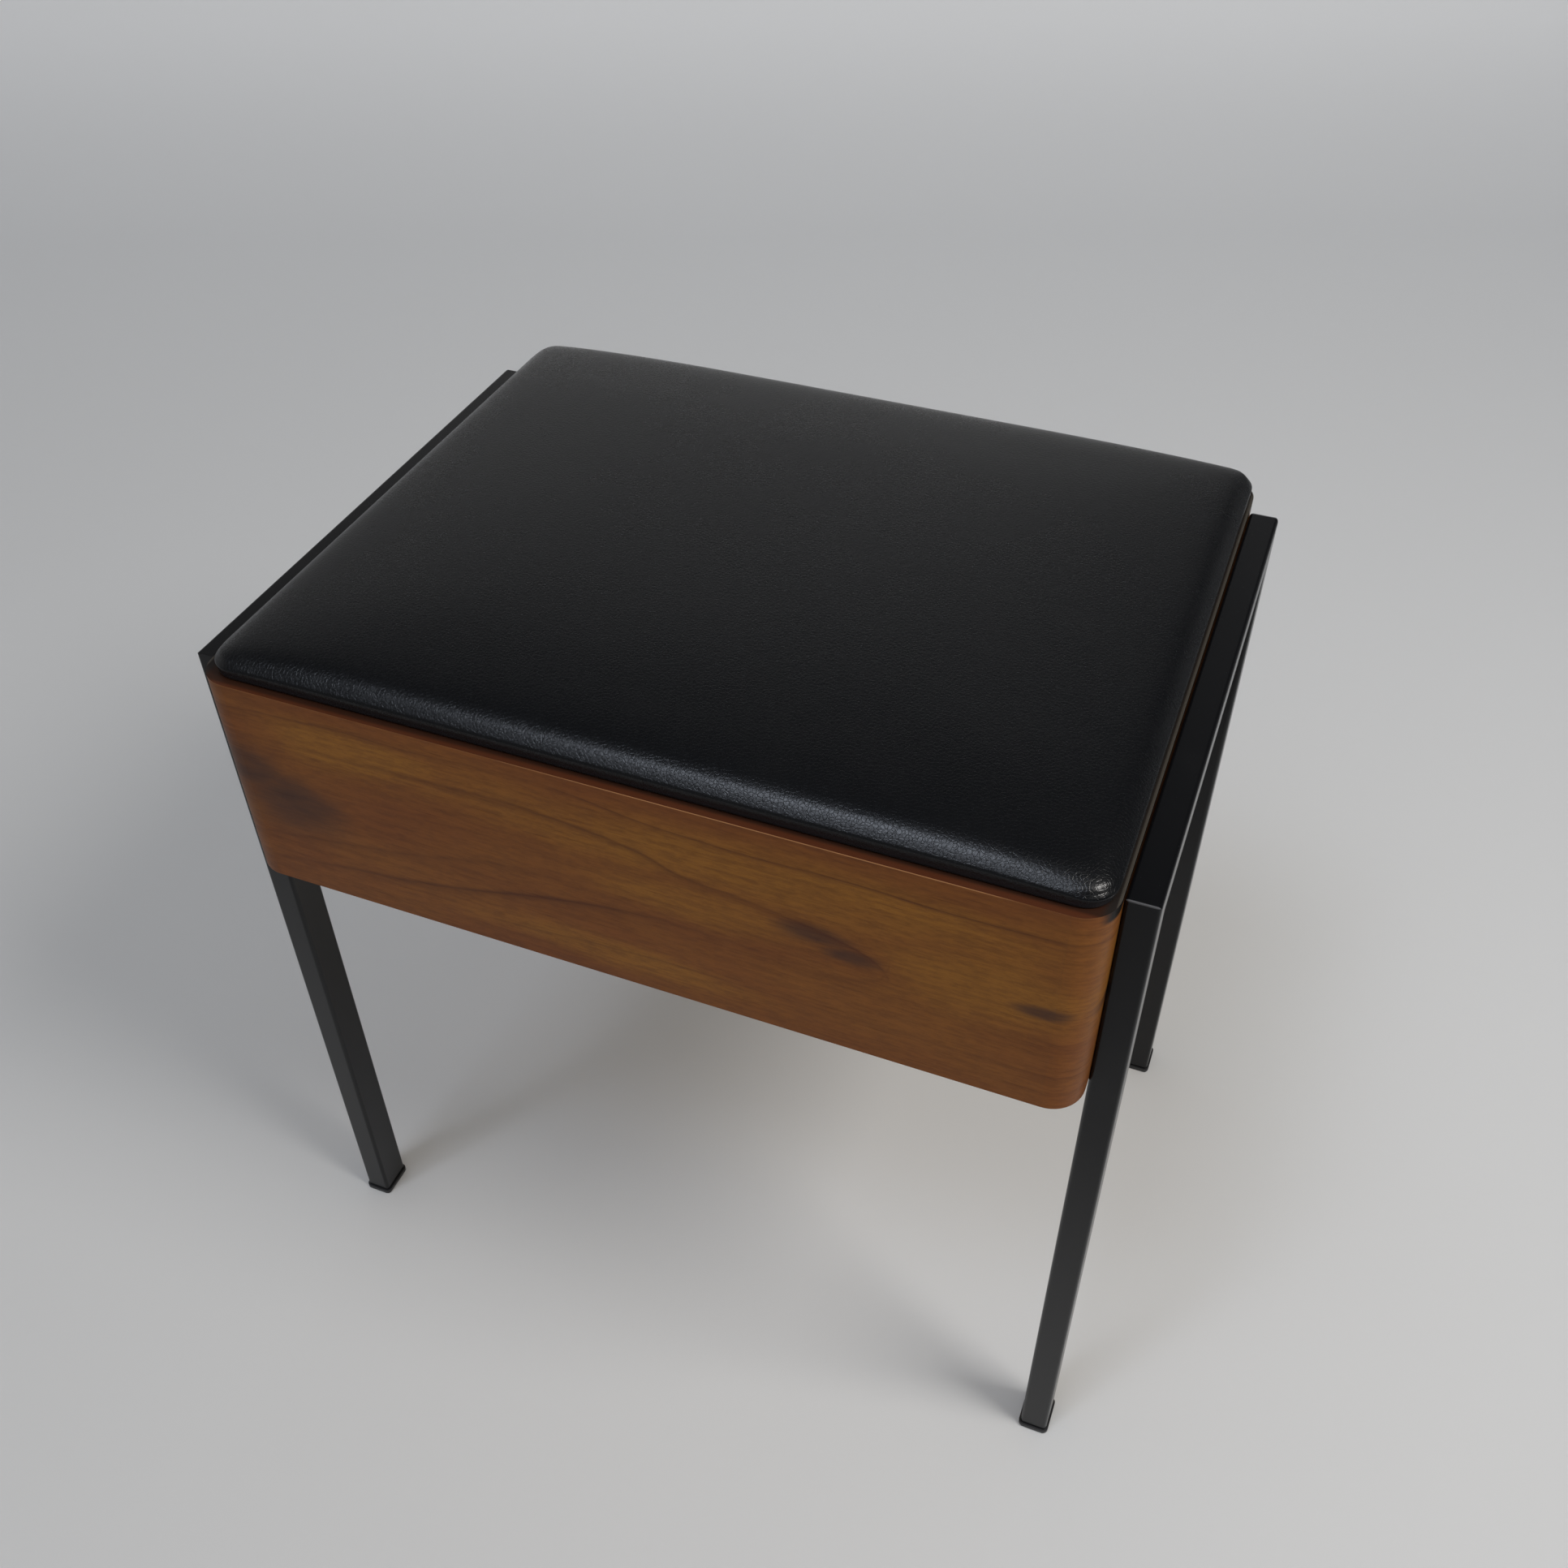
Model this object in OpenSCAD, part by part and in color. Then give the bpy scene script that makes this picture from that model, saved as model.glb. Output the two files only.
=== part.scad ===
// Sewing stool: a bent plywood box hung between two steel tube frames, closed by a padded lid
// that opens on two stop hinges, with a comb jointed tray that slides on runners inside.
// X runs along the long side, -Y is the front, +Z is up, and the origin is on the floor
// under the middle of the box.

/* [Steel frames] */
// Width over the outer faces of the two frames
frame_w = 454; // [380:1:560]
// Depth of one frame over its front and rear legs
frame_d = 296; // [250:1:340]
// Height of the rails' top faces above the floor
rail_top = 440; // [360:1:520]
// Size of the tube across the stool
tube_w = 15; // [12:0.5:20]
// Size of the tube in the plane of its frame
tube_d = 20; // [16:0.5:26]
// Wall of the tube
tube_t = 1.5; // [1:0.25:2.5]
// Outer radius of the tube's edges
tube_r = 2; // [1:0.1:3]
// Inner radius of the tube's edges
tube_bore_r = 0.6; // [0.3:0.1:1]

/* [Glides] */
// Thickness of the flange under a leg
flange_t = 3; // [2:0.25:6]
// How far the flange stands proud of the tube
flange_proud = 1; // [0.5:0.25:3]
// Height of the plug inside the leg
plug_h = 18; // [12:1:30]
// Reach of the plug's fins beyond its core
fin_reach = 1.6; // [1:0.1:2.5]
// Thickness of one fin
fin_t = 1.2; // [0.8:0.1:2]
// Gap between the fins and the tube
plug_play = 0.1; // [0.05:0.01:0.3]

/* [Box] */
// How far the box stands out in front of the legs, and behind them
box_overhang = 21; // [16:0.5:30]
// Height of the box
box_h = 121; // [100:1:160]
// How far the box stands above the rails
box_rise = 5; // [2:0.5:12]
// Outer radius of the box's upright corners
box_r = 16; // [13:0.5:30]
// Thickness of the bent plywood wall
wall_t = 9; // [8:0.5:11]
// Thickness of the bottom panel
bottom_t = 5; // [3:0.5:8]
// Width of the rebate that takes the bottom panel
rebate_w = 5; // [3:0.5:6]
// Gap round the bottom panel
panel_play = 0.2; // [0.1:0.05:0.5]

/* [Frame screws] */
// Radius of the screws that hold the box to the frames
screw_r = 2.5; // [2:0.1:3]
// Radius of their countersunk heads
screw_head_r = 4.8; // [4:0.1:6]
// How far a screw reaches inside the tube
screw_reach = 4; // [2:0.5:8]
// Gap between a screw and the wall it passes
screw_play = 0.2; // [0.1:0.05:0.4]
// Gap between a screw's crest and its tapped hole
thread_play = 0.05; // [0.02:0.01:0.1]
// Height of the leg screws above the box's lower edge
leg_screw_up = 26; // [16:1:50]
// Distance of the rail screws from the middle of the rail
rail_screw_y = 62; // [30:1:95]

/* [Lid] */
// Inset of the padded lid from the box's outer faces
lid_inset = 2.5; // [1:0.5:4]
// Gap between the lid's underside and the top of the box
lid_gap = 0.3; // [0.2:0.05:0.6]
// Thickness of the board under the foam
board_t = 4; // [3:0.25:4.25]
// Gap between the board's edge and the cover where it is drawn in most
board_ease = 0.5; // [0.3:0.1:2]
// Thickness of the cover
cover_t = 1; // [0.6:0.1:1.1]
// Gap between the cover and what it wraps
soft_gap = 0.2; // [0.1:0.05:0.25]
// Width of the hem turned under the board
hem_w = 20; // [14:1:26]
// Radius of the pad's lowest edge
band_edge = 0.8; // [0.4:0.1:1.2]
// How far the foot of the pad's side stands in from its widest level
tuck = 0.9; // [0.4:0.1:1.6]
// How far the foot is drawn in between the corners
draw_in = 1.4; // [0:0.1:2.4]
// Height of the pad's upright side below its shoulder
band_h = 4.9; // [4.7:0.1:7]
// Radius of the pad's shoulder
shoulder_r = 5.5; // [5.25:0.25:9]
// Quick rise of the foam beside the shoulder
puff_h = 6.8; // [3:0.2:12]
// Distance over which most of that rise is reached
puff_reach = 16; // [8:1:40]
// Slow rise of the crown over the middle
crown_h = 2.5; // [0:0.5:12]
// How much lower the shoulder lies at the pad's short ends
end_drop = 3; // [0:0.1:3.2]
// Radius of the pad's corners at its shoulder, seen from above
soft_corner_r = 21; // [16:0.5:34]
// Thickness of the lining board, which drops into the box and carries the seat's load
lining_t = 8; // [6:0.5:9]
// Gap between the lining board and the walls
lining_play = 2; // [1:0.25:4]
// Radius of the lining's screws
lining_screw_r = 1.2; // [0.8:0.1:1.8]

/* [Hinges] */
// Length of one hinge
hinge_l = 50; // [35:1:70]
// Distance from the box's side to the near end of a hinge
hinge_in = 69; // [57:1:127]
// Thickness of the leaves
leaf_t = 1.5; // [1.2:0.1:2]
// Depth of the leaf on the wall
wall_leaf_d = 8; // [6:0.25:8]
// Depth of the leaf under the lid, from the box's rear face
lid_leaf_d = 17; // [15:0.5:24]
// Outer radius of the barrel
barrel_r = 2.2; // [1.9:0.1:3]
// Gap between the barrel and the box
barrel_gap = 0.25; // [0.2:0.05:0.6]
// Radius of the pin
pin_r = 1.1; // [0.8:0.1:1.3]
// Gap between the pin and its knuckles
pin_play = 0.05; // [0.02:0.01:0.1]
// Number of knuckles in one barrel
knuckles = 5; // [3:2:9]
// Gap between neighbouring knuckles
knuckle_gap = 0.4; // [0.3:0.05:0.8]
// Opening at which the two stop bars meet
stop_angle = 97; // [92:1:120]
// Thickness of a stop bar, outwards from the barrel
stop_bar_t = 1.7; // [1.2:0.1:2.5]
// Gap between a stop bar and the other leaf's knuckles
bar_gap = 0.3; // [0.2:0.05:0.6]
// Turn of a stop bar past the upright
stop_back = 15; // [10:1:30]
// Radius of the hinge screws
hinge_screw_r = 1.1; // [0.8:0.1:1.4]
// Distance of the hinge screws from the middle of the hinge
hinge_screw_x = 16; // [10:1:17]
// Length of the screws that go down into the wall
wall_screw_l = 11; // [8:0.5:16]

/* [Runners] */
// Width of a runner, out from the wall
runner_w = 8; // [6:0.5:14]
// Height of a runner
runner_h = 10; // [8:0.5:16]
// Distance from each end of a runner to the side wall
runner_end = 14; // [4:1:30]
// Radius of the runners' screws
runner_screw_r = 1.6; // [1.2:0.1:2]
// How far a runner screw bites into the wall
runner_screw_bite = 5; // [3:0.5:7]

/* [Tray] */
// Length of the tray along its runners
tray_l = 196; // [120:1:230]
// Height of the tray's sides
tray_h = 42; // [30:1:55]
// Distance from the top of the tray to the top of the box
tray_down = 11; // [10:0.5:20]
// Thickness of the tray's sides
side_t = 6; // [5:0.25:9]
// Gap between the tray and the walls it slides along
tray_play = 1; // [0.5:0.25:2]
// Gap between the tray and the runners
slide_gap = 0.3; // [0.2:0.05:0.5]
// Fingers in one comb joint
fingers = 5; // [3:2:9]
// Gap in the glued joints
glue_play = 0.05; // [0.02:0.01:0.1]
// Thickness of the tray's bottom
tray_bottom_t = 3; // [2:0.5:5]
// Height of the bottom's groove above the lower edge
groove_up = 4; // [2.5:0.5:8]
// Depth of the groove
groove_d = 3; // [2:0.25:4]
// Thickness of the dividers
divider_t = 4; // [3:0.25:6]
// How far the dividers stop below the tray's top
divider_down = 6; // [2:0.5:12]
// Distance of the cross dividers from the middle
cross_y = 51; // [30:1:80]
// Radius of the finger notches
notch_r = 14; // [10:0.5:18]

/* [Hidden] */
$fn = 48;

// Overrun of every cut past the face it leaves
cut = 1;

// Colours
steel_black = [0.09, 0.095, 0.1];
plastic_black = [0.05, 0.05, 0.055];
vinyl_black = [0.1, 0.1, 0.11];
teak_brown = [0.5, 0.29, 0.15];
birch_pale = [0.82, 0.68, 0.48];
beech_pink = [0.78, 0.6, 0.42];
foam_cream = [0.9, 0.83, 0.6];
brass_yellow = [0.78, 0.62, 0.3];
zinc_grey = [0.66, 0.67, 0.68];

// Frame
tube_x = frame_w / 2 - tube_w / 2;
leg_y = frame_d / 2 - tube_d / 2;
bore_w = tube_w - 2 * tube_t;
bore_d = tube_d - 2 * tube_t;

// Glides
sole_t = flange_t / 4;
sole_inset = flange_proud / 2;
fin_shares = [0.3, 0.6, 0.9];

// Box
box_w = frame_w - 2 * tube_w;
box_d = frame_d + 2 * box_overhang;
box_top = rail_top + box_rise;
box_bottom = box_top - box_h;
inner_w = box_w - 2 * wall_t;
inner_d = box_d - 2 * wall_t;
inner_r = box_r - wall_t;
panel_w = inner_w + 2 * rebate_w;
panel_d = inner_d + 2 * rebate_w;
panel_r = inner_r + rebate_w;

// Frame screws
screw_head_h = screw_head_r - screw_r;
screw_spots = [
    for (s = [-1, 1]) [s * leg_y, box_bottom + leg_screw_up],
    for (s = [-1, 1]) [s * rail_screw_y, rail_top - tube_d / 2]
];

// Lid; its screws bite into this share of the board
lid_screw_share = 0.6;
lid_z = box_top + lid_gap;
pad_w = box_w - 2 * lid_inset;
pad_d = box_d - 2 * lid_inset;
pad_r = box_r - lid_inset;
board_z = lid_z + cover_t + soft_gap;
board_in = cover_t + tuck + draw_in + board_ease;
board_w = pad_w - 2 * board_in;
board_d = pad_d - 2 * board_in;
board_r = pad_r - board_in;
foam_z = board_z + board_t + soft_gap;
lining_w = inner_w - 2 * lining_play;
lining_d = inner_d - 2 * lining_play;
lining_r = inner_r - lining_play;
lining_z = lid_z - lining_t;
lining_head_r = 2 * lining_screw_r;
lining_screw_in = hem_w + 2 * lining_head_r;
lining_screw_l = board_z - lining_z + lid_screw_share * board_t;
lining_spots = [
    for (x = [-1, 0, 1], y = [-1, 1])
        [x * (pad_w / 2 - lining_screw_in), y * (pad_d / 2 - lining_screw_in)]
];

// Pad form: angles of the shoulder's rings, and the crown's rings as shares of its half width
shoulder_step = 20;
shoulder_angles = [for (i = [0:4]) i * shoulder_step];
crown_shares = [0.975, 0.94, 0.89, 0.81, 0.68, 0.5, 0.27];
drop_share = 0.4;
corner_steps = 4;
long_steps = 7;
short_steps = 5;

// Hinges
hinge_x = box_w / 2 - hinge_in - hinge_l / 2;
hinge_y = box_d / 2 + barrel_gap + barrel_r;
hinge_z = box_top + lid_gap / 2;
bar_r = barrel_r + bar_gap;
stop_r = bar_r + stop_bar_t;
knuckle_l = (hinge_l - (knuckles - 1) * knuckle_gap) / knuckles;
hinge_head_r = 2 * hinge_screw_r;
wall_screw_y = box_d / 2 - wall_leaf_d / 2;
lid_screw_y = box_d / 2 - wall_leaf_d;
lid_screw_l = leaf_t + lid_screw_share * board_t;

// Runners
runner_l = inner_w - 2 * runner_end;
runner_top = box_top - tray_down - tray_h - slide_gap;
runner_head_r = 2 * runner_screw_r;
runner_screw_xs = [-runner_l / 3, 0, runner_l / 3];

// Tray
tray_d = inner_d - 2 * tray_play;
tray_x = -inner_w / 2 + inner_r + tray_l / 2;
tray_z = box_top - tray_down - tray_h;
finger_h = tray_h / fingers;
hold_l = tray_l - 2 * side_t;
hold_d = tray_d - 2 * side_t;
divider_z = groove_up + tray_bottom_t + glue_play;
divider_h = tray_h - divider_down - divider_z;

// Rounded rectangle, centred
module rounded_outline(w, d, r) {
    square([w - 2 * r, d], center = true);
    square([w, d - 2 * r], center = true);
    for (x = [-1, 1], y = [-1, 1])
        translate([x * (w / 2 - r), y * (d / 2 - r)])
            circle(r = r);
}

module rounded_block(w, d, r, h) {
    linear_extrude(h)
        rounded_outline(w, d, r);
}

// Countersunk screw along +Z, its head's flat face at z = 0
module countersunk(r, head_r, length) {
    union() {
        cylinder(r = r, h = length);
        cylinder(r1 = head_r, r2 = r, h = head_r - r);
    }
}

// Hole for such a screw, open at z = 0
module countersink(r, head_r, length, play) {
    cylinder(r = r + play, h = length + play);
    cylinder(r1 = head_r + play, r2 = r + play, h = head_r - r);
    translate([0, 0, -cut])
        cylinder(r = head_r + play, h = cut);
}

// Half of the corner square of a frame, split along its mitre, seen along X
module mitre_half(upper) {
    far = tube_d + cut;
    corner = upper ? [far, cut] : [-cut, -far];
    rotate([90, 0, 90])
        linear_extrude(tube_w + 2 * cut, center = true)
            polygon([[-cut, cut], corner, [far, -far]]);
}

module tube_bar(length) {
    linear_extrude(length)
        difference() {
            rounded_outline(tube_w, tube_d, tube_r);
            rounded_outline(bore_w, bore_d, tube_bore_r);
        }
}

// Tapped holes in a frame's inner face, side is -1 for the left frame and 1 for the right
module tapped_holes(side) {
    for (spot = screw_spots)
        translate([side * (box_w / 2 - cut), spot[0], spot[1]])
            rotate([0, side * 90, 0])
                cylinder(r = screw_r + thread_play, h = cut + 2 * tube_t);
}

module leg(side, end) {
    color(steel_black)
        difference() {
            translate([side * tube_x, end * leg_y, flange_t])
                tube_bar(rail_top - flange_t);
            translate([side * tube_x, end * frame_d / 2, rail_top])
                scale([1, -end, 1])
                    mitre_half(true);
            tapped_holes(side);
        }
}

module rail(side) {
    color(steel_black)
        difference() {
            translate([side * tube_x, -frame_d / 2, rail_top - tube_d / 2])
                rotate([-90, 0, 0])
                    tube_bar(frame_d);
            for (end = [-1, 1])
                translate([side * tube_x, end * frame_d / 2, rail_top])
                    scale([1, -end, 1])
                        mitre_half(false);
            tapped_holes(side);
        }
}

module glide(side, end) {
    color(plastic_black)
        translate([side * tube_x, end * leg_y, 0]) {
            w = tube_w + 2 * flange_proud;
            d = tube_d + 2 * flange_proud;
            rounded_block(w - 2 * sole_inset, d - 2 * sole_inset, tube_r, sole_t);
            translate([0, 0, sole_t])
                rounded_block(w, d, tube_r + flange_proud, flange_t - sole_t);
            translate([0, 0, flange_t])
                rounded_block(bore_w - 2 * fin_reach, bore_d - 2 * fin_reach, tube_bore_r, plug_h);
            for (s = fin_shares)
                translate([0, 0, flange_t + s * plug_h - fin_t])
                    rounded_block(bore_w - 2 * plug_play, bore_d - 2 * plug_play, tube_bore_r, fin_t);
        }
}

module box_shell() {
    color(teak_brown)
        difference() {
            translate([0, 0, box_bottom])
                rounded_block(box_w, box_d, box_r, box_h);
            translate([0, 0, box_bottom - cut])
                rounded_block(inner_w, inner_d, inner_r, box_h + 2 * cut);
            translate([0, 0, box_bottom - cut])
                rounded_block(panel_w, panel_d, panel_r, bottom_t + cut);
            for (side = [-1, 1], spot = screw_spots)
                translate([side * inner_w / 2, spot[0], spot[1]])
                    rotate([0, side * 90, 0])
                        countersink(screw_r, screw_head_r, wall_t + cut, screw_play);
            for (side = [-1, 1]) {
                translate([side * hinge_x - hinge_l / 2 - glue_play, box_d / 2 - wall_leaf_d, box_top - leaf_t])
                    cube([hinge_l + 2 * glue_play, wall_leaf_d + cut, leaf_t + cut]);
                for (x = [-hinge_screw_x, hinge_screw_x])
                    translate([side * hinge_x + x, wall_screw_y, box_top - wall_screw_l])
                        cylinder(r = hinge_screw_r + thread_play, h = wall_screw_l);
            }
            for (end = [-1, 1], x = runner_screw_xs)
                translate([x, end * inner_d / 2, runner_top - runner_h / 2])
                    rotate([-end * 90, 0, 0])
                        translate([0, 0, -cut])
                            cylinder(r = runner_screw_r + thread_play, h = runner_screw_bite + cut);
        }
}

module bottom_panel() {
    color(birch_pale)
        translate([0, 0, box_bottom])
            rounded_block(panel_w - 2 * panel_play, panel_d - 2 * panel_play, panel_r - panel_play, bottom_t);
}

module frame_screws() {
    color(zinc_grey)
        for (side = [-1, 1], spot = screw_spots)
            translate([side * inner_w / 2, spot[0], spot[1]])
                rotate([0, side * 90, 0])
                    countersunk(screw_r, screw_head_r, wall_t + tube_t + screw_reach);
}

module runner(end) {
    color(beech_pink)
        difference() {
            translate([-runner_l / 2, end > 0 ? inner_d / 2 - runner_w : -inner_d / 2, runner_top - runner_h])
                cube([runner_l, runner_w, runner_h]);
            for (x = runner_screw_xs)
                translate([x, end * (inner_d / 2 - runner_w), runner_top - runner_h / 2])
                    rotate([-end * 90, 0, 0])
                        countersink(runner_screw_r, runner_head_r, runner_w + cut, screw_play);
        }
}

module runner_screws() {
    color(brass_yellow)
        for (end = [-1, 1], x = runner_screw_xs)
            translate([x, end * (inner_d / 2 - runner_w), runner_top - runner_h / 2])
                rotate([-end * 90, 0, 0])
                    countersunk(runner_screw_r, runner_head_r, runner_w + runner_screw_bite - thread_play);
}

// Sector of a disc between two angles, seen along X with +Y to the right and +Z up
module sector(r, from, to) {
    far = 2 * r;
    mid = (from + to) / 2;
    intersection() {
        circle(r = r);
        polygon([
            [0, 0],
            far * [cos(from), sin(from)],
            far * [cos(mid), sin(mid)],
            far * [cos(to), sin(to)]
        ]);
    }
}

// Draws a profile in the YZ plane along one stretch of X
module along_x(from, length) {
    translate([from, 0, 0])
        rotate([90, 0, 90])
            linear_extrude(length)
                children();
}

// One leaf with its own knuckles and its stop bar, about the pin's axis; up is 1 under the lid
module hinge_leaf(up) {
    first = up > 0 ? 1 : 0;
    start = up * stop_angle / 2;
    end = up * (90 + stop_back);
    reach = hinge_y - box_d / 2 + (up > 0 ? lid_leaf_d : wall_leaf_d);
    plate_z = up > 0 ? lid_gap / 2 : -lid_gap / 2 - leaf_t;
    screw_y = (up > 0 ? lid_screw_y : wall_screw_y) - hinge_y;
    own = [for (i = [first:2:knuckles - 1]) -hinge_l / 2 + i * (knuckle_l + knuckle_gap)];
    difference() {
        union() {
            translate([-hinge_l / 2, -reach, plate_z])
                cube([hinge_l, reach - bar_r, leaf_t]);
            for (x = own) {
                translate([x, -reach, plate_z])
                    cube([knuckle_l, reach, leaf_t]);
                along_x(x, knuckle_l)
                    circle(r = barrel_r);
                along_x(x, knuckle_l)
                    sector(stop_r, start, end);
            }
            along_x(-hinge_l / 2, hinge_l)
                difference() {
                    sector(stop_r, start, end);
                    circle(r = bar_r);
                }
        }
        along_x(-hinge_l / 2 - cut, hinge_l + 2 * cut)
            circle(r = pin_r + pin_play);
        for (x = [-hinge_screw_x, hinge_screw_x])
            translate([x, screw_y, up * lid_gap / 2])
                scale([1, 1, up])
                    countersink(hinge_screw_r, hinge_head_r, leaf_t + cut, thread_play);
    }
}

module hinge_half(side, up) {
    color(brass_yellow)
        translate([side * hinge_x, hinge_y, hinge_z])
            hinge_leaf(up);
}

module hinge_pin(side) {
    color(brass_yellow)
        translate([side * hinge_x, hinge_y, hinge_z])
            along_x(-hinge_l / 2, hinge_l)
                circle(r = pin_r);
}

module hinge_wall_screws() {
    color(brass_yellow)
        for (side = [-1, 1], x = [-hinge_screw_x, hinge_screw_x])
            translate([side * hinge_x + x, wall_screw_y, box_top])
                mirror([0, 0, 1])
                    countersunk(hinge_screw_r, hinge_head_r, wall_screw_l - thread_play);
}

module hinge_lid_screws() {
    color(brass_yellow)
        for (side = [-1, 1], x = [-hinge_screw_x, hinge_screw_x])
            translate([side * hinge_x + x, lid_screw_y, lid_z])
                countersunk(hinge_screw_r, hinge_head_r, lid_screw_l - thread_play);
}

module lid_board() {
    color(birch_pale)
        difference() {
            translate([0, 0, board_z])
                rounded_block(board_w, board_d, board_r, board_t);
            for (side = [-1, 1]) {
                translate([side * hinge_x - hinge_l / 2 - glue_play, box_d / 2 - lid_leaf_d - glue_play, lid_z])
                    cube([hinge_l + 2 * glue_play, lid_leaf_d + cut, leaf_t]);
                for (x = [-hinge_screw_x, hinge_screw_x])
                    translate([side * hinge_x + x, lid_screw_y, lid_z])
                        cylinder(r = hinge_screw_r + thread_play, h = lid_screw_l);
            }
            for (spot = lining_spots)
                translate([spot[0], spot[1], board_z - cut])
                    cylinder(r = lining_screw_r + thread_play, h = lid_screw_share * board_t + cut);
        }
}

module lid_lining() {
    color(birch_pale)
        difference() {
            translate([0, 0, lining_z])
                rounded_block(lining_w, lining_d, lining_r, lining_t);
            for (spot = lining_spots)
                translate([spot[0], spot[1], lining_z])
                    countersink(lining_screw_r, lining_head_r, lining_t + cut, screw_play);
        }
}

module lining_screws() {
    color(brass_yellow)
        for (spot = lining_spots)
            translate([spot[0], spot[1], lining_z])
                countersunk(lining_screw_r, lining_head_r, lining_screw_l - thread_play);
}

// Inward shift of a side's points, zero at its ends
function drawn(t, depth) = depth * (1 - pow(2 * t - 1, 2));

// One ring of the pad: rounded rectangle of half sizes a and b, its sides drawn in between the corners
function ring(a, b, r, z, depth) = [
    for (q = [0:3])
        let (
            flip = q % 2 == 1,
            along = flip ? a - r : b - r,
            side = flip ? b : a,
            steps = flip ? long_steps : short_steps,
            turn = q * 90
        )
        each concat(
            [
                for (i = [0:steps - 1])
                    let (t = i / steps, out = side - drawn(t, depth), run = (2 * t - 1) * along)
                    [out * cos(turn) - run * sin(turn), out * sin(turn) + run * cos(turn), z]
            ],
            [
                for (i = [0:corner_steps - 1])
                    let (angle = 90 * i / corner_steps)
                    [
                        (side - r) * cos(turn) - along * sin(turn) + r * cos(turn + angle),
                        (side - r) * sin(turn) + along * cos(turn) + r * sin(turn + angle),
                        z
                    ]
            ]
        )
];

ring_n = 2 * (long_steps + short_steps) + 4 * corner_steps;

// One quick rise that starts at an edge: share is the distance from the middle, half the size
function edge_rise(share, half) = 1 - exp((share - 1) * half / puff_reach);

// Lift of the pad's top over its shoulder at a place
function puff_at(x, y) =
    let (u = min(1, abs(x) / (pad_w / 2)), v = min(1, abs(y) / (pad_d / 2)))
    puff_h * edge_rise(u, pad_w / 2) * edge_rise(v, pad_d / 2)
    + crown_h * (1 - pow(u, 2)) * (1 - pow(v, 2))
    - end_drop * pow(max(0, (u - drop_share) / (1 - drop_share)), 2);

// A ring with its points lifted by a share of the lift over the points of its outer face
function lifted(points, faces, share) = [
    for (i = [0:len(points) - 1])
        [points[i][0], points[i][1], points[i][2] + share * puff_at(faces[i][0], faces[i][1])]
];

// Rings of the pad form, taken in by an offset from its outer face
function shoulder_point(angle, off) = [
    shoulder_r - (shoulder_r - off) * cos(angle),
    lid_z + band_h + (shoulder_r - off) * sin(angle)
];

function shoulder_plan(angle, off, z) =
    let (
        inset = shoulder_point(angle, off)[0],
        r = pad_r + (soft_corner_r - pad_r) * angle / 90 - inset
    )
    ring(pad_w / 2 - inset, pad_d / 2 - inset, r, z, 0);

function shoulder_ring(angle, off) =
    let (z = shoulder_point(angle, off)[1])
    lifted(shoulder_plan(angle, off, z), shoulder_plan(angle, 0, z), sin(angle));

function crown_ring(share, off) =
    let (
        p = shoulder_point(shoulder_angles[len(shoulder_angles) - 1], off),
        a = (pad_w / 2 - p[0]) * share,
        b = (pad_d / 2 - p[0]) * share,
        corner = soft_corner_r - p[0],
        plan = ring(a, b, min(b - (b - corner * share) * pow(share, 1 / 2), b), p[1], 0)
    )
    lifted(plan, plan, 1);

function top_rings(off, first) = concat(
    [for (i = [first:len(shoulder_angles) - 1]) shoulder_ring(shoulder_angles[i], off)],
    [for (share = crown_shares) crown_ring(share, off)]
);

function foot_ring(off, z) =
    ring(pad_w / 2 - tuck - off, pad_d / 2 - tuck - off, pad_r - tuck - off, z, draw_in);

function cover_rings(off, low, edge) = concat(
    edge > 0 ? [foot_ring(off + edge, low)] : [],
    [foot_ring(off, low + edge)],
    top_rings(off, 0)
);

function foam_rings(off) = concat(
    [shoulder_plan(shoulder_angles[1], off, foam_z)],
    top_rings(off, 2)
);

// Closed form through a stack of rings, with a flat base and a middle point on top
module stacked(rings, peak) {
    n = ring_n;
    count = len(rings);
    points = concat([for (each_ring = rings) each each_ring], [[0, 0, rings[0][0][2]], [0, 0, peak]]);
    base = count * n;
    faces = concat(
        [for (j = [0:n - 1]) [base, j, (j + 1) % n]],
        [for (k = [0:count - 2], j = [0:n - 1]) [k * n + j, (k + 1) * n + j, k * n + (j + 1) % n]],
        [for (k = [0:count - 2], j = [0:n - 1]) [(k + 1) * n + j, (k + 1) * n + (j + 1) % n, k * n + (j + 1) % n]],
        [for (j = [0:n - 1]) [base + 1, (count - 1) * n + (j + 1) % n, (count - 1) * n + j]]
    );
    polyhedron(points = points, faces = faces, convexity = 4);
}

function pad_peak(off) = shoulder_point(shoulder_angles[len(shoulder_angles) - 1], off)[1] + puff_at(0, 0);

module seat_foam() {
    off = cover_t + soft_gap;
    color(foam_cream)
        stacked(foam_rings(off), pad_peak(off));
}

module seat_cover() {
    color(vinyl_black)
        difference() {
            stacked(cover_rings(0, lid_z, band_edge), pad_peak(0));
            stacked(cover_rings(cover_t, lid_z + cover_t, 0), pad_peak(cover_t));
            translate([0, 0, lid_z - cut])
                rounded_block(pad_w - 2 * hem_w, pad_d - 2 * hem_w, pad_r, cover_t + 2 * cut);
            for (side = [-1, 1])
                translate([side * hinge_x - hinge_l / 2 - soft_gap, box_d / 2 - lid_leaf_d - soft_gap, lid_z - cut])
                    cube([hinge_l + 2 * soft_gap, lid_leaf_d, leaf_t + soft_gap + cut]);
        }
}

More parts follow.
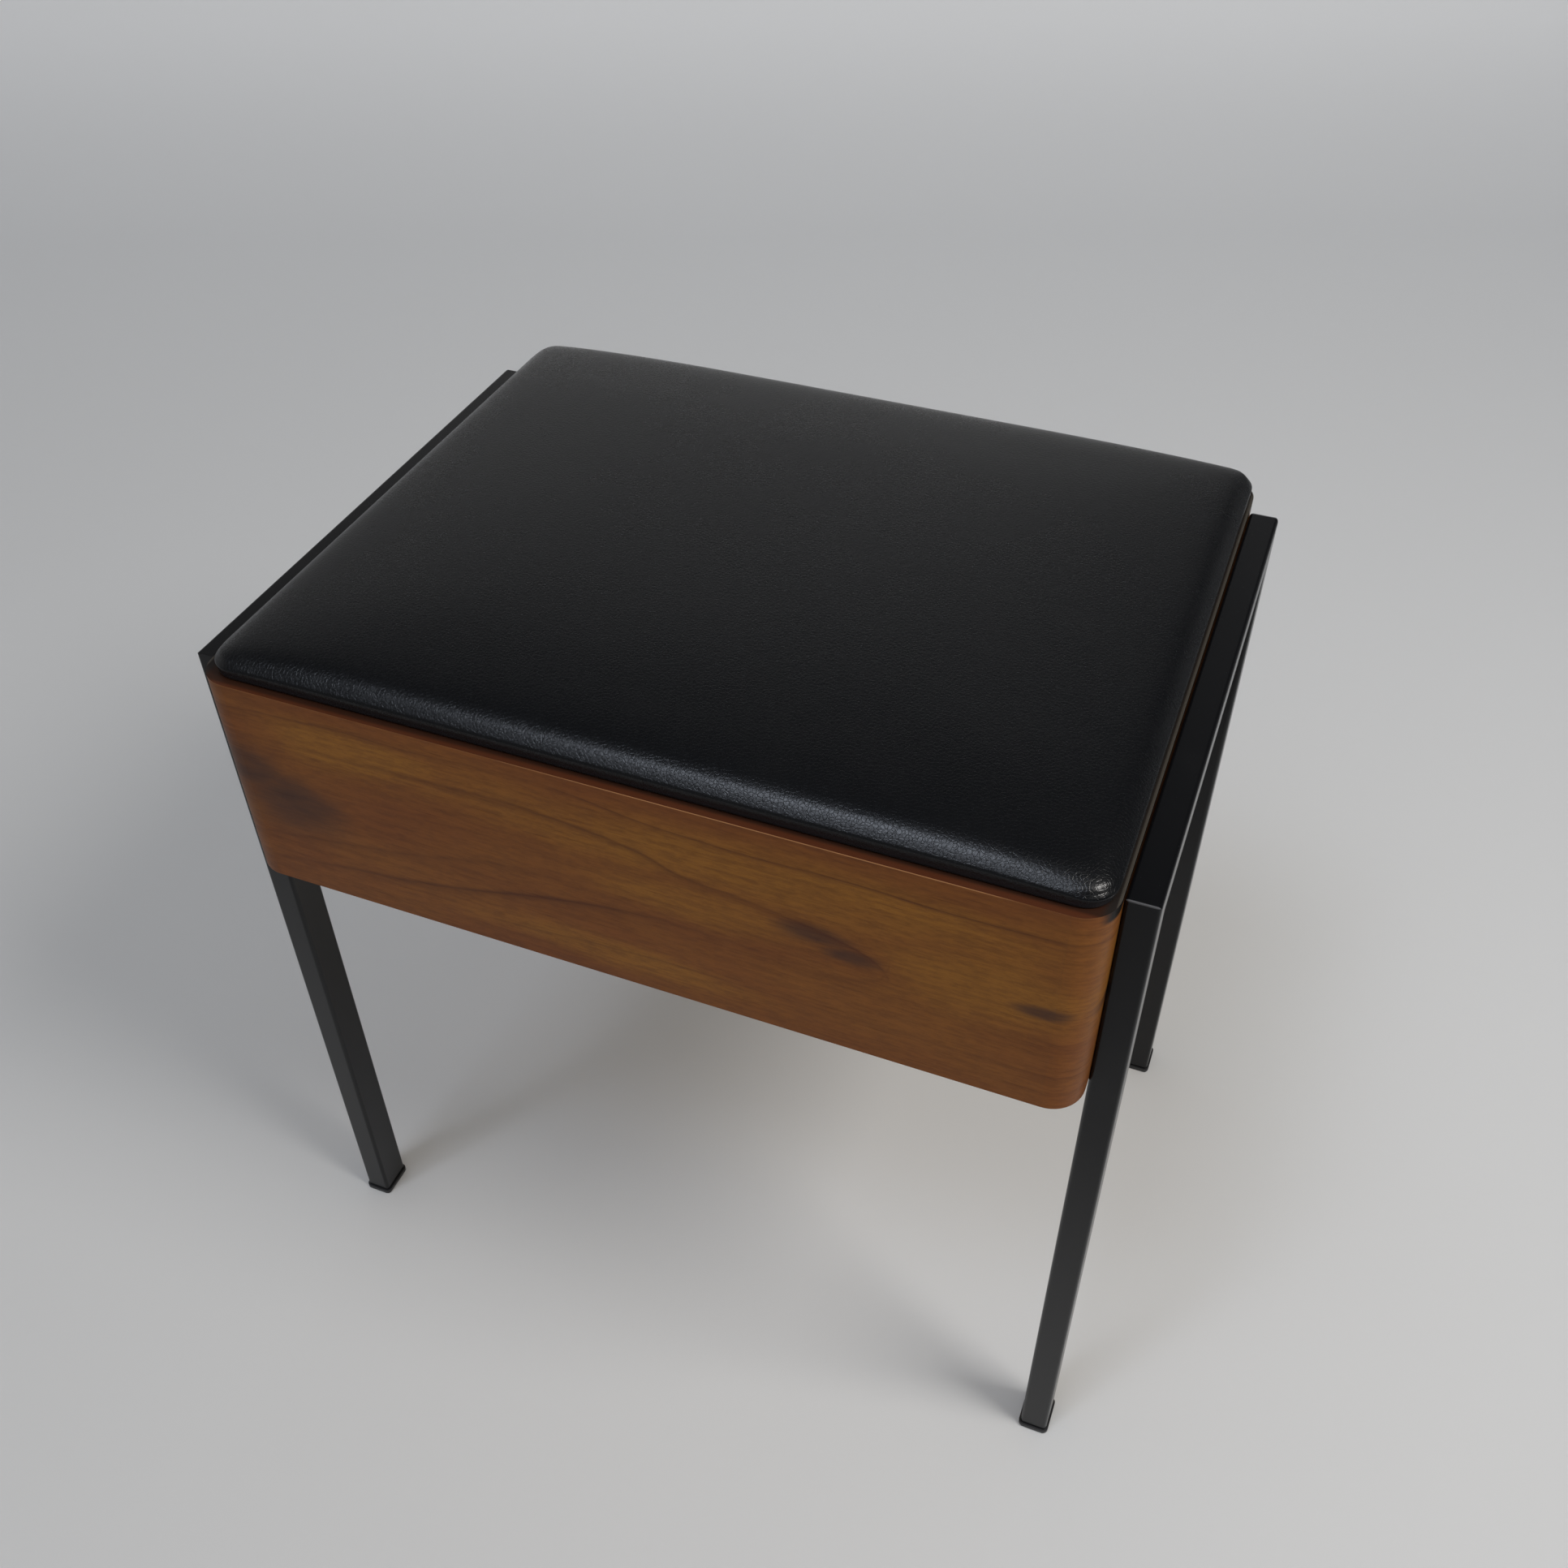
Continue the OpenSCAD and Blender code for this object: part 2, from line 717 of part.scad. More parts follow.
// Slots of the comb joint at both ends of a board that runs along X
module comb_slots(length, first) {
    for (i = [first:2:fingers - 1], end = [-1, 1]) {
        low = i == 0 ? -cut : i * finger_h - glue_play / 2;
        high = i == fingers - 1 ? tray_h + cut : (i + 1) * finger_h + glue_play / 2;
        translate([end * (length / 2 - side_t / 2) + end * cut / 2, 0, (low + high) / 2])
            cube([side_t + cut, side_t + 2 * cut, high - low], center = true);
    }
}

// Board of the tray along X, its outer face to -Y, with the groove for the bottom in its inner face
module tray_board(length, first) {
    difference() {
        translate([-length / 2, -side_t / 2, 0])
            cube([length, side_t, tray_h]);
        comb_slots(length, first);
        translate([-length / 2 + side_t - groove_d, side_t / 2 - groove_d, groove_up])
            cube([length - 2 * side_t + 2 * groove_d, groove_d + cut, tray_bottom_t + glue_play]);
    }
}

module in_tray() {
    translate([tray_x, 0, tray_z])
        children();
}

module tray_long_side(end) {
    color(beech_pink)
        in_tray()
            rotate([0, 0, end < 0 ? 0 : 180])
                translate([0, -tray_d / 2 + side_t / 2, 0])
                    tray_board(tray_l, 1);
}

module tray_end(side) {
    color(beech_pink)
        in_tray()
            rotate([0, 0, side < 0 ? -90 : 90])
                translate([0, -tray_l / 2 + side_t / 2, 0])
                    difference() {
                        tray_board(tray_d, 0);
                        translate([0, 0, tray_h])
                            rotate([90, 0, 0])
                                cylinder(r = notch_r, h = side_t + 2 * cut, center = true);
                    }
}

module tray_bottom() {
    w = hold_l + 2 * groove_d - 2 * glue_play;
    d = hold_d + 2 * groove_d - 2 * glue_play;
    color(birch_pale)
        in_tray()
            translate([-w / 2, -d / 2, groove_up])
                cube([w, d, tray_bottom_t]);
}

// Slot of a halved joint, half the dividers' height
module halving() {
    cube([divider_t + 2 * glue_play, divider_t + 2 * cut, divider_h / 2 + glue_play / 2 + cut], center = true);
}

module tray_long_divider() {
    length = hold_d - 2 * glue_play;
    color(birch_pale)
        in_tray()
            difference() {
                translate([-divider_t / 2, -length / 2, divider_z])
                    cube([divider_t, length, divider_h]);
                for (y = [-cross_y, cross_y])
                    translate([0, y, divider_z + 3 * divider_h / 4 + cut / 2])
                        rotate([0, 0, 90])
                            halving();
            }
}

module tray_cross_divider(end) {
    length = hold_l - 2 * glue_play;
    color(birch_pale)
        in_tray()
            translate([0, end * cross_y, 0])
                difference() {
                    translate([-length / 2, -divider_t / 2, divider_z])
                        cube([length, divider_t, divider_h]);
                    translate([0, 0, divider_z + divider_h / 4 - cut / 2])
                        halving();
                }
}

leg(-1, -1);  // left_front_leg
leg(-1, 1);  // left_rear_leg
leg(1, -1);  // right_front_leg
leg(1, 1);  // right_rear_leg
rail(-1);  // left_rail
rail(1);  // right_rail
glide(-1, -1);  // left_front_glide
glide(-1, 1);  // left_rear_glide
glide(1, -1);  // right_front_glide
glide(1, 1);  // right_rear_glide
box_shell();
bottom_panel();
frame_screws();
runner(-1);  // front_runner
runner(1);  // rear_runner
runner_screws();
hinge_half(-1, -1);  // left_hinge_wall_leaf
hinge_half(1, -1);  // right_hinge_wall_leaf
hinge_pin(-1);  // left_hinge_pin
hinge_pin(1);  // right_hinge_pin
hinge_wall_screws();
hinge_half(-1, 1);  // left_hinge_lid_leaf
hinge_half(1, 1);  // right_hinge_lid_leaf
hinge_lid_screws();
lid_board();
seat_foam();
seat_cover();
lid_lining();
lining_screws();
tray_long_side(-1);  // tray_front
tray_long_side(1);  // tray_back
tray_end(-1);  // tray_left_end
tray_end(1);  // tray_right_end
tray_bottom();
tray_long_divider();
tray_cross_divider(-1);  // tray_front_divider
tray_cross_divider(1);  // tray_rear_divider
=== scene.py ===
import math
import bpy
import bmesh
from mathutils import Matrix, Vector


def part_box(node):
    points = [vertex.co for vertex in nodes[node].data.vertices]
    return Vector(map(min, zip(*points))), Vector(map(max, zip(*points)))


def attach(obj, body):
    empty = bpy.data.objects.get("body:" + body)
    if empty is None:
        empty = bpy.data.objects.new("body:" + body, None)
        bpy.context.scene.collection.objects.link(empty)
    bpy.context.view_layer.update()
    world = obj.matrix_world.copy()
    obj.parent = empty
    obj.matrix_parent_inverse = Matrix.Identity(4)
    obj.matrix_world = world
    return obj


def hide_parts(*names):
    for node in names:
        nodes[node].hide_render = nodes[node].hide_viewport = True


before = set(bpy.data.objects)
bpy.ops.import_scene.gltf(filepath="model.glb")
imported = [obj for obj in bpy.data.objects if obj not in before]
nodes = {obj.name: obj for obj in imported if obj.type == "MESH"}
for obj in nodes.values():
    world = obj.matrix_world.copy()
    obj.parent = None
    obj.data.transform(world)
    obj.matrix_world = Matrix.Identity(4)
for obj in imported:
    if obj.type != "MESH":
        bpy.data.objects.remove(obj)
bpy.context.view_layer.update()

mm = 0.001
print("frame:", len(nodes), "solids")


def corners(name):  # a solid's lowest and highest corner, to a micrometre
    return [[round(along, 6) for along in corner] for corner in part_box(name)]


boxLow, boxHigh = corners("box_shell")
railHigh = corners("right_rail")[1]
coverLow, coverHigh = corners("seat_cover")


class Value:  # a socket that adds, multiplies and so on like a number
    def __init__(self, finish, socket):
        self.finish = finish
        self.socket = socket

    def __add__(self, other):
        return self.finish.math("ADD", self, other)

    def __radd__(self, other):
        return self.finish.math("ADD", other, self)

    def __sub__(self, other):
        return self.finish.math("SUBTRACT", self, other)

    def __rsub__(self, other):
        return self.finish.math("SUBTRACT", other, self)

    def __mul__(self, other):
        return self.finish.math("MULTIPLY", self, other)

    def __rmul__(self, other):
        return self.finish.math("MULTIPLY", other, self)

    def __truediv__(self, other):
        return self.finish.math("DIVIDE", self, other)

    def __rtruediv__(self, other):
        return self.finish.math("DIVIDE", other, self)

    def __abs__(self):
        return self.finish.math("ABSOLUTE", self)


def opaque(colour):  # a plain colour gets its alpha, anything else stays as it is
    return (*colour, 1) if isinstance(colour, tuple) and len(colour) == 3 else colour


class Finish:  # the nodes of one material, or of the world
    def __init__(self, block):
        self.block = block
        block.use_nodes = True
        self.tree = block.node_tree
        self.tree.nodes.clear()

    def node(self, kind, settings=None, sockets=None, out=0):
        made = self.tree.nodes.new("ShaderNode" + kind)
        for key, value in (settings or {}).items():
            if key == "stops":
                ramp = made.color_ramp
                while len(ramp.elements) < len(value):
                    ramp.elements.new(0.5)
                for stop, (at, grey) in zip(ramp.elements, value):
                    stop.position = at
                    stop.color = (grey, grey, grey, 1)
            elif key == "curve":
                points = made.mapping.curves[0].points
                for at, height in value[1:-1]:
                    points.new(at, height)
                for point, spot in zip(points, value):
                    point.location = spot
                made.mapping.update()
            else:
                setattr(made, key, value)
        for key, value in (sockets or {}).items():
            if isinstance(value, Value):
                self.tree.links.new(value.socket, made.inputs[key])
            else:
                made.inputs[key].default_value = value
        return Value(self, made.outputs[out]) if made.outputs else None

    def math(self, operation, *values):
        return self.node("Math", {"operation": operation}, dict(enumerate(values)))

    def vector(self, operation, a, b, out=0):
        return self.node("VectorMath", {"operation": operation}, {0: a, 1: b}, out)

    def coords(self, name="Object"):
        return self.node("TexCoord", out=name)

    def axis(self, letter, name="Object"):
        return self.node("SeparateXYZ", None, {0: self.coords(name)}, out=letter)

    def mix(self, factor, a, b, blend="MIX"):  # 6, 7 and 2 are the Mix node's colour sockets
        return self.node("Mix", {"data_type": "RGBA", "blend_type": blend},
                         {0: factor, 6: opaque(a), 7: opaque(b)}, out=2)

    def rise(self, value, low, high, most=1.0):  # from 0 at low to most at high
        return self.node("MapRange", {"interpolation_type": "SMOOTHSTEP"},
                         {0: value, 1: low, 2: high, 4: most})

    def near(self, value, edge, reach):  # from 0 to 1 between two distances inside an edge
        return self.rise(value, edge - reach[0], edge - reach[1])

    # a pattern's span is where it starts, where it is full and how strong it is then
    def noise(self, scale, detail=3, rough=0.5, stretch=(1, 1, 1), span=None):
        cloud = self.node("TexNoise", None, {
            "Vector": self.vector("MULTIPLY", self.coords(), stretch), "Scale": scale, "Detail": detail,
            "Roughness": rough})
        return self.rise(cloud, *span) if span else cloud

    def cells(self, scale, stretch=(1, 1, 1), feature="F1", random=1.0, span=None):
        spots = self.node("TexVoronoi", {"feature": feature}, {
            "Vector": self.vector("MULTIPLY", self.coords(), stretch), "Scale": scale, "Randomness": random})
        return self.rise(spots, *span) if span else spots

    def ramp(self, factor, stops):
        return self.node("ValToRGB", {"stops": stops}, {0: factor})

    def curve(self, value, spots):
        return self.node("FloatCurve", {"curve": spots}, {"Value": value})

    def bump(self, height, strength, distance, under=None):
        sockets = {"Height": height, "Strength": strength, "Distance": distance}
        if under:
            sockets["Normal"] = under
        return self.node("Bump", None, sockets)

    def surface(self, sockets):
        shader = self.node("BsdfPrincipled", None, {key: opaque(value) for key, value in sockets.items()})
        self.node("OutputMaterial", None, {"Surface": shader})
        return self.block


def newFinish(name):
    return Finish(bpy.data.materials.new(name))


def paintNodes(names, material):
    for name in names:
        mesh = nodes[name].data
        mesh.materials.clear()
        mesh.materials.append(material)


enamel = {
    "colour": (0.0040, 0.0042, 0.0050), "dust": (0.016, 0.016, 0.016), "roughness": 0.20, "gloss": 0.30,
    "patches": {"scale": 9, "detail": 4, "rough": 0.6}, "dustSpan": (0.5, 0.8, 0.35), "patchy": 0.10,
    "specks": {"scale": 260, "span": (0.10, 0.02, 0.5)}, "speckDust": 0.3, "speckRough": 0.1,
    "peel": {"scale": 420, "detail": 2}, "peelBump": (0.35, 0.02 * mm),
    "arrisHighlight": (0.10, 0.10, 0.105),           # painted highlight: a lighter line along the arris at the ends of the right rail
    "arrisReach": (0.9 * mm, 0.4 * mm), "rightFrom": (0.0, 10 * mm),
}


def satinEnamel():  # sprayed black steel: a fine orange peel, a little dust in patches, and a painted highlight along the right rail's end arrises
    f = newFinish("satinEnamel")
    patches = f.noise(**enamel["patches"])
    specks = f.cells(**enamel["specks"])
    dusty = f.rise(patches, *enamel["dustSpan"]) + specks * enamel["speckDust"]
    colour = f.mix(dusty, enamel["colour"], enamel["dust"])
    end = f.near(abs(f.axis("Y")), railHigh[1], enamel["arrisReach"])
    top = f.near(f.axis("Z"), railHigh[2], enamel["arrisReach"])
    # painted highlight: the thin lighter line where the rail's top meets its ends
    edgeGlint = end * top * f.rise(f.axis("X"), *enamel["rightFrom"])
    return f.surface({
        "Base Color": f.mix(edgeGlint, colour, enamel["arrisHighlight"]),
        "Roughness": enamel["roughness"] + patches * enamel["patchy"] + specks * enamel["speckRough"],
        "Specular IOR Level": enamel["gloss"],
        "Normal": f.bump(f.noise(**enamel["peel"]), *enamel["peelBump"]),
    })


glide = {
    "colour": (0.018, 0.018, 0.019), "scuff": (0.055, 0.053, 0.050), "roughness": 0.46, "rougher": 0.25,
    "scuffs": {"scale": 300, "detail": 5, "rough": 0.65, "span": (0.42, 0.68)},
    "scuffHeight": (3 * mm, 0.4 * mm),
    "matt": {"scale": 900, "rough": 0.6}, "mattBump": (0.3, 0.03 * mm),
}


def glidePlastic():  # moulded polythene, scuffed where it meets the floor
    f = newFinish("glidePlastic")
    scuffs = f.noise(**glide["scuffs"]) * f.rise(f.axis("Z"), *glide["scuffHeight"])
    return f.surface({
        "Base Color": f.mix(scuffs, glide["colour"], glide["scuff"]),
        "Roughness": glide["roughness"] + scuffs * glide["rougher"],
        "Normal": f.bump(f.noise(**glide["matt"]), *glide["mattBump"]),
    })


teak = {
    "red": (0.196, 0.061, 0.0122), "gold": (0.285, 0.115, 0.0145), "line": (0.068, 0.018, 0.006),
    "smudge": (0.062, 0.027, 0.017), "inside": (0.36, 0.21, 0.11), "roughness": 0.38, "gloss": 0.17,
    # the figure: how the grain wanders, then its patterns
    "sway": {"scale": 9, "detail": 2, "stretch": (1, 1, 2.0)}, "swayBy": 3.5 * mm,
    "ripple": {"scale": 34, "detail": 2, "stretch": (0.6, 0.6, 1.6)}, "rippleBy": 1.6 * mm,
    "fibre": {"scale": 9, "detail": 6, "rough": 0.72, "stretch": (1, 1, 42)}, "fibreSpan": (0.32, 0.72, 0.22),
    "mottle": {"scale": 330, "detail": 4, "rough": 0.75, "stretch": (0.35, 0.35, 2.0),
               "span": (0.38, 0.66, 0.32)},
    "flecks": {"scale": 85, "rough": 0.6, "stretch": (0.35, 0.35, 4.5), "span": (0.52, 0.74, 0.12)},
    "pores": {"scale": 170, "stretch": (0.08, 0.08, 3.6), "span": (0.16, 0.04)}, "poreShare": 0.45,
    "cloud": {"scale": 7, "detail": 4, "rough": 0.55, "stretch": (1, 1, 2.2), "span": (0.34, 0.68, 0.45)},
    "spotSpan": (1.35, 0.25), "spotRipple": (0.9, 0.8), "spotSway": 0.8, "goldShare": 0.85,
    "smudgeShare": 0.42, "smudged": {"scale": 60, "rough": 0.6, "stretch": (0.8, 0.8, 3)},
    "smudgedShare": 0.75,
    "veinShare": 0.78, "veinWidths": 8,
    "veinShape": ((0.0, 0.0), (0.30, 0.10), (0.45, 0.55), (0.51, 1.0), (0.60, 0.12), (0.72, 0.0)),
    # less gold by the upper and the lower edge: how far in, and how much less
    "topFade": (11 * mm, -0.5 * mm), "footFade": (-8 * mm, 0.5 * mm), "footShare": 0.6, "goldLoss": 0.45,
    # the upper edge of the front, and a painted highlight along its arris
    "edge": (0.074, 0.0225, 0.009), "arrisHighlight": (0.52, 0.25, 0.10), "padShade": (0.016, 0.008, 0.005),
    "plies": {"scale": 30, "rough": 0.6, "span": (0.3, 0.7, 0.6)}, "arrisReach": (0.7 * mm, 0.2 * mm),
    "edgeGlint": {"scale": 16, "detail": 4, "rough": 0.7, "span": (0.30, 0.55)},
    "glintLeast": 0.12, "glintFrom": (0.28, 0.55), "glintTo": (0.94, 0.86, 0.88),
    # the pad lies nearer the edge at the left: what it leaves bare there is narrower
    # painted shade: the front and back top edges darken towards the pad's foot
    "nearer": (20 * mm, -150 * mm, 1.4 * mm), "byPad": (2.1 * mm, 4.4 * mm), "padShadeShare": 0.75,
    # the upper edge of each side, over its rail: dark, with a painted highlight along its outer rim
    "sideEdge": (0.018, 0.014, 0.012), "sideArrisHighlight": (0.060, 0.052, 0.042),
    # painted shade on the box's side faces just above the rails
    "shadeAboveRail": (0.006, 0.004, 0.003),
    "sideReach": (7 * mm, 3 * mm), "rimReach": (1.6 * mm, 0.8 * mm), "railReach": (2 * mm, -0.5 * mm),
    "upwardSpan": (0.5, 0.9), "sidewaysSpan": (0.6, 0.9), "outwardSpan": (-0.02, 0.0),
    "innerSpan": (0.3, 0.75, 0.5), "rougher": 0.10, "poreRough": 0.15, "fibreHeight": 0.6, "poreDepth": 0.7,
    "bump": (0.22, 0.10 * mm),
}
# golden and dark patches on the front: middle and half sizes, along and up, in mm
goldSpots = (((70, 416), (150, 22)), ((38, 389), (62, 13)), ((-135, 425), (52, 14)), ((-8, 341), (70, 10)),
             ((165, 392), (50, 26)))
darkSpots = (((-192, 397), (22, 17)), ((-174, 380), (31, 21)), ((92, 393), (20, 6)), ((108, 385), (14, 5)),
             ((192, 385), (14, 4)))
# veins: where each runs, how strong it is along its way, and its half width, all in mm
veins = (
    {"run": ((-212, 335), (-150, 344), (-117, 348), (-82, 355), (-50, 363), (-12, 370), (23, 373), (63, 372),
             (100, 370), (117, 374), (123, 381)),
     "force": ((-212, 0.3), (-150, 0.55), (-100, 0.85), (-40, 1), (10, 0.6), (60, 0.3), (123, 0.35),
               (126, 0)),
     "width": 2.6},
    {"run": ((-212, 414), (-150, 418), (-92, 420), (-37, 419), (8, 413), (30, 405), (63, 401), (100, 394),
             (117, 387), (123, 381)),
     "force": ((-212, 0), (-150, 0.15), (-92, 0.45), (0, 0.75), (30, 0.7), (60, 0.5), (100, 0.8), (119, 0.6),
               (126, 0)),
     "width": 2.0},
    {"run": ((-212, 431), (-140, 436), (-92, 436), (-50, 438), (-17, 436), (13, 431.5), (50, 430), (100, 430),
             (150, 428), (212, 429)),
     "force": ((-212, 0.1), (-140, 0.6), (-92, 0.5), (-40, 0.4), (0, 0.8), (60, 0.7), (110, 0.9), (212, 0.6)),
     "width": 1.1},
    {"run": ((-212, 326), (-72, 339), (-37, 342), (13, 345), (63, 345), (212, 346)),
     "force": ((-212, 0), (-90, 0.1), (-37, 0.5), (40, 0.5), (120, 0.4), (212, 0.5)),
     "width": 1.0},
    {"run": ((-212, 352), (-120, 366), (-60, 379), (-10, 385), (60, 384), (212, 360)),
     "force": ((-212, 0.4), (-120, 0.5), (-60, 0.3), (0, 0.1), (60, 0), (212, 0)),
     "width": 3.0},
)


def teakVeneer():  # grain level all round the box; the sides and the back carry on the front's figure
    f = newFinish("teakVeneer")
    girth, tall = boxHigh[0] - boxLow[0], boxHigh[2] - boxLow[2]  # one side's length, and the box's height
    up, aside = f.axis("Z"), abs(f.axis("X"))
    sway = f.noise(**teak["sway"]) - 0.5
    ripple = f.noise(**teak["ripple"]) - 0.5
    turned = f.axis("X") + f.axis("Y") + (boxHigh[1] + girth / 2)
    along = f.math("PINGPONG", turned, girth) / girth
    height = (up + sway * teak["swayBy"] + ripple * teak["rippleBy"] - boxLow[2]) / tall

    def placed(x, z):  # from mm on the front to 0 to 1 along and up
        return x * mm / girth + 0.5, (z * mm - boxLow[2]) / tall

    def blots(spots):
        most = 0.0
        for middle, half in spots:
            x, z = placed(*middle)
            a = (along - x) / (half[0] * mm / girth) + ripple * teak["spotRipple"][0]
            a = a + sway * teak["spotSway"]
            b = (height - z) / (half[1] * mm / tall) + ripple * teak["spotRipple"][1]
            most = f.math("MAXIMUM", most, f.rise(f.math("SQRT", a * a + b * b), *teak["spotSpan"]))
        return most

    def drawnVeins():
        most = 0.0
        for vein in veins:
            path = f.curve(along, [placed(*spot) for spot in vein["run"]])
            force = f.curve(along, [(placed(x, 0)[0], much) for x, much in vein["force"]])
            off = (height - path) * (tall / (vein["width"] * mm))
            line = f.ramp(off / teak["veinWidths"] + 0.5, teak["veinShape"]) * force
            most = f.math("MAXIMUM", most, line)
        return most

    fibre = f.noise(**teak["fibre"])
    pores = f.cells(**teak["pores"])
    gold = f.math("MINIMUM", blots(goldSpots) * teak["goldShare"] + f.noise(**teak["cloud"]), 1.0)
    edges = f.near(up, boxLow[2], teak["footFade"]) * teak["footShare"]
    edges = f.near(up, boxHigh[2], teak["topFade"]) + edges
    colour = f.mix(gold * (1 - edges * teak["goldLoss"]), teak["red"], teak["gold"])
    grain = f.rise(fibre, *teak["fibreSpan"]) + f.noise(**teak["flecks"]) + f.noise(**teak["mottle"])
    colour = f.mix(grain, colour, teak["line"])
    uneven = teak["smudgeShare"] + f.noise(**teak["smudged"]) * teak["smudgedShare"]
    colour = f.mix(blots(darkSpots) * uneven, colour, teak["smudge"])
    colour = f.mix(drawnVeins() * teak["veinShare"], colour, teak["line"])
    colour = f.mix(pores * teak["poreShare"], colour, teak["line"])

    onSide = f.near(aside, boxHigh[0], teak["sideReach"])
    middle = f.rise(along, *teak["glintFrom"]) * f.rise(along, *teak["glintTo"])
    # painted highlight: a lighter line along the front's upper arris, strongest along the middle
    edgeGlint = f.near(up, boxHigh[2], teak["arrisReach"]) * f.noise(**teak["edgeGlint"])
    colour = f.mix(edgeGlint * (1 - onSide) * (teak["glintLeast"] + middle), colour, teak["arrisHighlight"])

    # painted shade where the pad's foot overhangs the top edge
    byPad = f.near(abs(f.axis("Y")) - f.rise(f.axis("X"), *teak["nearer"]), boxHigh[1], teak["byPad"])
    longEdge = f.mix(f.noise(**teak["plies"]), teak["edge"], teak["line"])
    longEdge = f.mix(byPad * teak["padShadeShare"], longEdge, teak["padShade"])
    # painted highlight: the outer rim of each side's upper edge is lighter
    sideEdge = f.mix(f.near(aside, boxHigh[0], teak["rimReach"]), teak["sideEdge"], teak["sideArrisHighlight"])
    upward = f.rise(abs(f.axis("Z", "Normal")), *teak["upwardSpan"])
    colour = f.mix(upward, colour, f.mix(onSide, longEdge, sideEdge))
    # painted shade: the sides go dark just above the rails, in the gap between box and rail
    sideways = f.rise(abs(f.axis("X", "Normal")), *teak["sidewaysSpan"])
    colour = f.mix(sideways * f.near(up, railHigh[2], teak["railReach"]), colour, teak["shadeAboveRail"])

    level = f.vector("MULTIPLY", f.coords(), (1, 1, 0))
    outward = f.rise(f.vector("DOT_PRODUCT", f.coords("Normal"), level, out="Value"), *teak["outwardSpan"])
    inner = f.mix(f.rise(fibre, *teak["innerSpan"]), teak["inside"], teak["gold"])
    return f.surface({
        "Base Color": f.mix(outward, inner, colour),
        "Roughness": teak["roughness"] + fibre * teak["rougher"] + pores * teak["poreRough"],
        "Specular IOR Level": teak["gloss"],
        "Normal": f.bump(fibre * teak["fibreHeight"] - pores * teak["poreDepth"], *teak["bump"]),
    })


ply = {
    "pale": (0.60, 0.42, 0.25), "dark": (0.43, 0.27, 0.14), "roughness": 0.56, "rougher": 0.12,
    "fibre": {"scale": 11, "detail": 5, "rough": 0.65}, "fibreSpan": (0.3, 0.75, 0.45),
    "stretch": {"X": (20, 1.4, 10), "Y": (1.4, 20, 10), "Z": (1.4, 16, 16)},
    "cloud": {"scale": 8}, "cloudShare": 0.15, "bump": (0.25, 0.08 * mm),
    "layer": 1.3 * mm, "layerSpan": (0.4, 0.6, 0.7), "edgeSpan": (0.6, 0.3),
}


def birchPly(name, thin):  # thin is the axis through the board, whose edges show the layers
    f = newFinish(name)
    fibre = f.noise(**ply["fibre"], stretch=ply["stretch"][thin])
    cloud = f.noise(**ply["cloud"]) * ply["cloudShare"]
    colour = f.mix(f.rise(fibre, *ply["fibreSpan"]) + cloud, ply["pale"], ply["dark"])
    layer = f.rise(f.math("PINGPONG", f.axis(thin), ply["layer"]) / ply["layer"], *ply["layerSpan"])
    onEdge = f.rise(abs(f.axis(thin, "Normal")), *ply["edgeSpan"])
    return f.surface({
        "Base Color": f.mix(onEdge * layer, colour, ply["dark"]),
        "Roughness": ply["roughness"] + fibre * ply["rougher"],
        "Normal": f.bump(fibre, *ply["bump"]),
    })


beech = {
    "pink": (0.52, 0.31, 0.17), "fleck": (0.34, 0.17, 0.08), "roughness": 0.50, "rougher": 0.12,
    "fibre": {"scale": 10, "detail": 5, "rough": 0.6}, "fibreSpan": (0.3, 0.75, 0.35),
    "rays": {"scale": 60, "span": (0.17, 0.05)}, "rayShare": 0.6, "rayDepth": 0.5, "bump": (0.22, 0.08 * mm),
    "along": {"fibre": (1.3, 22, 22), "rays": (0.12, 1, 1)},
    "across": {"fibre": (22, 1.3, 22), "rays": (1, 0.12, 1)},
}


def beechWood(name, way):  # small dark flecks along the grain
    f = newFinish(name)
    fibre = f.noise(**beech["fibre"], stretch=beech[way]["fibre"])
    rays = f.cells(**beech["rays"], stretch=beech[way]["rays"])
    colour = f.mix(f.rise(fibre, *beech["fibreSpan"]), beech["pink"], beech["fleck"])
    return f.surface({
        "Base Color": f.mix(rays * beech["rayShare"], colour, beech["fleck"]),
        "Roughness": beech["roughness"] + fibre * beech["rougher"],
        "Normal": f.bump(fibre - rays * beech["rayDepth"], *beech["bump"]),
    })


brass = {
    "bright": (0.66, 0.46, 0.19), "dull": (0.36, 0.23, 0.09), "roughness": 0.26,
    "tarnish": {"scale": 70, "detail": 4, "rough": 0.6, "span": (0.42, 0.72)}, "dullShare": 0.7,
    "brushed": {"scale": 260, "rough": 0.6, "stretch": (1, 9, 9)}, "tarnishRough": 0.2, "brushedRough": 0.08,
    "bump": (0.2, 0.02 * mm),
}


def agedBrass():
    f = newFinish("agedBrass")
    tarnish = f.noise(**brass["tarnish"])
    brushed = f.noise(**brass["brushed"])
    return f.surface({
        "Base Color": f.mix(tarnish * brass["dullShare"], brass["bright"], brass["dull"]),
        "Metallic": 1.0,
        "Roughness": brass["roughness"] + tarnish * brass["tarnishRough"] + brushed * brass["brushedRough"],
        "Normal": f.bump(brushed, *brass["bump"]),
    })


zinc = {
    "bright": (0.55, 0.56, 0.57), "dull": (0.36, 0.36, 0.35), "roughness": 0.32, "rougher": 0.15,
    "bloom": {"scale": 160, "detail": 4, "rough": 0.6}, "bloomSpan": (0.4, 0.7), "bump": (0.15, 0.02 * mm),
}


